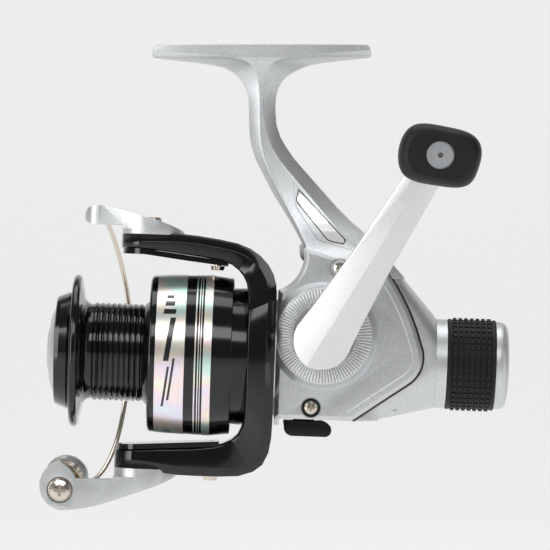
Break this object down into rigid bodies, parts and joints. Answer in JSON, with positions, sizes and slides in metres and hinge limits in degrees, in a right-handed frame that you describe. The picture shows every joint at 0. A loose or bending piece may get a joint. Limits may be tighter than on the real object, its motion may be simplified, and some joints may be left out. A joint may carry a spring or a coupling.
{
  "type": "spinning reel",
  "caption": "Fixed-spool fishing reel with a rear drag knob, crank handle, rotor with bail and a foot for a rod's reel seat.",
  "frame": {"origin": "centre of the flat top of the foot", "axes": "+Z out of the foot's top towards the rod, +X along the rod towards the drag knob, the crank handle on the -Y side"},
  "size_m": [0.1404, 0.1277, 0.139],
  "materials": {
    "silver_paint": "satin metallic",
    "gloss_black": "gloss",
    "black_anodised": "gloss anodised",
    "nickel": "polished",
    "steel": "brushed",
    "zinc_gear": "cast",
    "brass": "turned",
    "black_plastic": "satin",
    "white_plastic": "satin",
    "grip_rubber": "matt",
    "knob_rubber": "soft touch",
    "grey_cap": "satin",
    "felt": "felt"
  },
  "bodies": {
    "root": {"main_housing": "silver_paint", "side_cover": "silver_paint", "cover_screws": "nickel", "pinion_bearing": "steel", "pinion_bush": "brass", "right_crank_bearing": "steel", "left_crank_bearing": "steel", "bearing_retainer": "steel", "slider_guide_rod": "steel", "rear_collar": "silver_paint", "eared_drag_washers": "steel", "felt_washers": "felt", "drag_spring": "steel"},
    "crank": {"crank_shaft": "steel", "drive_gear": "zinc_gear", "oscillation_driver": "zinc_gear", "handle_shank": "steel", "handle_arm": "silver_paint", "handle_screw_cap": "black_plastic", "knob_spindle": "steel"},
    "knob": {"handle_knob": "knob_rubber", "knob_cap": "grey_cap"},
    "oscillation": {"oscillation_gear": "white_plastic"},
    "rotor": {"pinion_gear": "brass", "anti_reverse_ratchet": "steel", "rotor": "gloss_black", "rotor_washer": "steel", "rotor_nut": "nickel", "upper_arm_cover": "gloss_black", "lower_arm_cover": "gloss_black", "arm_cover_screws": "nickel", "bail_pivot_screws": "nickel", "bail_spring": "steel"},
    "trip": {"trip_lever": "steel"},
    "bail": {"upper_bail_arm": "silver_paint", "roller_bail_arm": "silver_paint", "bail_wire": "nickel", "bail_wire_holder": "silver_paint", "roller_axle": "brass", "roller_screw": "nickel"},
    "roller": {"line_roller": "nickel"},
    "slider": {"oscillation_slider": "zinc_gear"},
    "spool": {"main_shaft": "steel", "shaft_clips": "steel", "spool_washer": "white_plastic", "spool": "black_anodised", "spool_nose_ring": "gloss_black", "spool_nose_cap": "silver_paint", "spool_latch_clip": "steel", "button_spring": "steel"},
    "button": {"spool_button": "silver_paint"},
    "drag_core": {"drag_bush": "brass", "keyed_drag_washer": "steel"},
    "drag_knob": {"drag_knob_core": "black_plastic", "drag_grip": "grip_rubber", "drag_end_cap": "silver_paint"},
    "drag_nut": {"drag_nut": "brass"},
    "lever": {"anti_reverse_lever": "black_plastic", "lever_rod": "steel"},
    "pawl": {"anti_reverse_pawl": "steel"}
  },
  "joints": [
    {"name": "crank_turn", "type": "hinge", "parent": "root", "child": "crank", "pos_m": [0.0184, 0, -0.087], "axis": [0, 1, 0], "continuous": true},
    {"name": "knob_spin", "type": "hinge", "parent": "crank", "child": "knob", "pos_m": [0.04998, -0.07, -0.03551], "axis": [0, 1, 0], "continuous": true},
    {"name": "oscillation_turn", "type": "hinge", "parent": "root", "child": "oscillation", "pos_m": [0.03025, 0.007, -0.09128], "axis": [0, 1, 0], "continuous": true},
    {"name": "rotor_turn", "type": "hinge", "parent": "root", "child": "rotor", "pos_m": [-0.00185, 0, -0.09348], "axis": [0.9993, 0, -0.0361], "continuous": true},
    {"name": "bail_swing", "type": "hinge", "parent": "rotor", "child": "bail", "pos_m": [-0.03383, 0, -0.09232], "axis": [0.0361, 0, 0.9993], "range_deg": [0, 125]},
    {"name": "trip_slide", "type": "slide", "parent": "rotor", "child": "trip", "axis": [0.9993, 0, -0.0361], "range_m": [0, 0.0026]},
    {"name": "roller_spin", "type": "hinge", "parent": "bail", "child": "roller", "pos_m": [-0.05923, 0.00207, -0.13045], "axis": [0.1424, 0.9312, 0.3355], "continuous": true},
    {"name": "spool_stroke", "type": "slide", "parent": "root", "child": "slider", "axis": [0.9993, 0, -0.0361], "range_m": [-0.0085, 0.002]},
    {"name": "spool_spin", "type": "hinge", "parent": "slider", "child": "spool", "pos_m": [0.03263, 0, -0.09472], "axis": [0.9993, 0, -0.0361], "continuous": true},
    {"name": "button_press", "type": "slide", "parent": "spool", "child": "button", "axis": [0.9993, 0, -0.0361], "range_m": [0, 0.001], "stiffness_N_per_m": 400, "deforming": ["button_spring"]},
    {"name": "drag_core_spin", "type": "hinge", "parent": "root", "child": "drag_core", "pos_m": [0.04712, 0, -0.09525], "axis": [0.9993, 0, -0.0361], "continuous": true},
    {"name": "drag_knob_turn", "type": "hinge", "parent": "root", "child": "drag_knob", "pos_m": [0.06311, 0, -0.09582], "axis": [0.9993, 0, -0.0361], "range_deg": [-360, 360]},
    {"name": "drag_nut_travel", "type": "slide", "parent": "root", "child": "drag_nut", "axis": [0.9993, 0, -0.0361], "range_m": [-0.0006, 0.0006], "deforming": ["drag_spring"]},
    {"name": "anti_reverse_switch", "type": "hinge", "parent": "root", "child": "lever", "pos_m": [0.01263, 0.001, -0.10811], "axis": [0.9993, 0, -0.0361], "range_deg": [0, 12]},
    {"name": "pawl_swing", "type": "hinge", "parent": "root", "child": "pawl", "pos_m": [0.00134, -0.006, -0.105], "axis": [0.9993, 0, -0.0361], "range_deg": [-12, 12]}
  ],
  "couplings": [
    {"joint": "rotor_turn", "follows": "crank_turn", "ratio": 4.4},
    {"joint": "oscillation_turn", "follows": "crank_turn", "ratio": -0.5},
    {"joint": "trip_slide", "follows": "bail_swing", "m_per_rad": 0.0011},
    {"joint": "drag_core_spin", "follows": "spool_spin", "ratio": 1},
    {"joint": "drag_nut_travel", "follows": "drag_knob_turn", "m_per_rad": -0.000079577},
    {"joint": "pawl_swing", "follows": "anti_reverse_switch", "ratio": -0.35}
  ]
}
